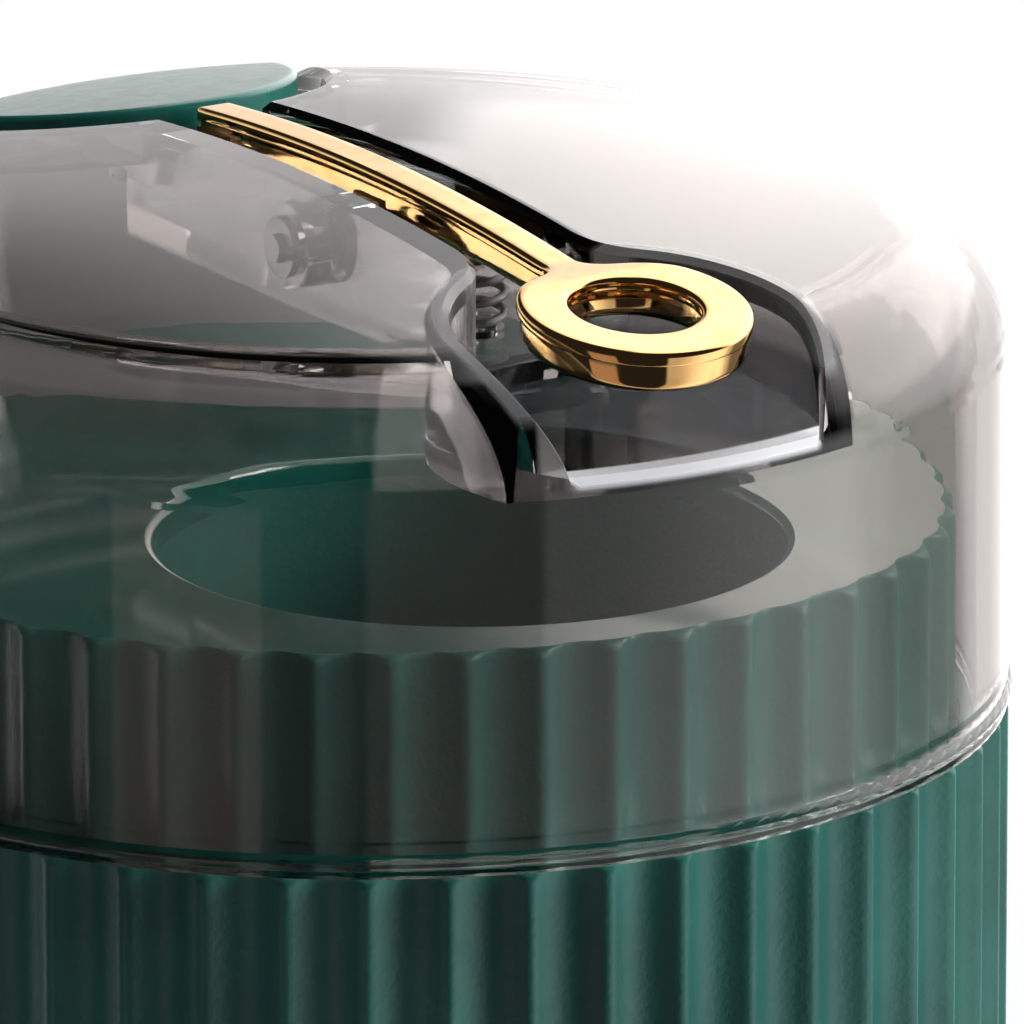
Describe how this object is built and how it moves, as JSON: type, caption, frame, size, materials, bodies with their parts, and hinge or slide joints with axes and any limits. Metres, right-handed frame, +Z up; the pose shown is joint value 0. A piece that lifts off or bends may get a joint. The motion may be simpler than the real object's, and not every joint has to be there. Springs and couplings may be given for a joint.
{
  "type": "toothpick dispenser",
  "caption": "Round fluted table dispenser for toothpicks: a clear domed lid carries a see-saw lever whose ring is pressed to lift a pouring flap.",
  "frame": {"origin": "middle of the foot ring's underside, on the table", "axes": "+Z up along the dispenser's axis, -Y towards the finger ring, +Y towards the pouring flap"},
  "size_m": [0.0724, 0.0724, 0.0828],
  "materials": {
    "green_plastic": "dark green moulded plastic with a satin sheen and a fine grain",
    "smoky_clear": "smoky clear moulded plastic, polished",
    "gold_plate": "polished gold plating",
    "steel": "plain bright steel",
    "foot_rubber": "matte black rubber"
  },
  "bodies": {
    "stand": {"body_shell": "green_plastic", "neck_insert": "green_plastic", "pick_well": "green_plastic", "base_cap": "green_plastic", "base_screws": "steel", "foot_ring": "foot_rubber"},
    "lid": {"lid_shell": "smoky_clear", "lever_pin": "steel", "pin_clips": "steel", "return_spring": "steel"},
    "rocker": {"lever": "gold_plate", "flap": "green_plastic", "flap_screws": "steel"}
  },
  "joints": [
    {"name": "lid_lift", "type": "slide", "parent": "stand", "child": "lid", "axis": [0, 0, 1], "range_m": [0, 0.03]},
    {"name": "lever_press", "type": "hinge", "parent": "lid", "child": "rocker", "pos_m": [0, -0.002, 0.078], "axis": [1, 0, 0], "range_deg": [0, 5], "stiffness_Nm_per_rad": 0.3, "springref_deg": -8.59, "deforming": ["return_spring"]}
  ]
}
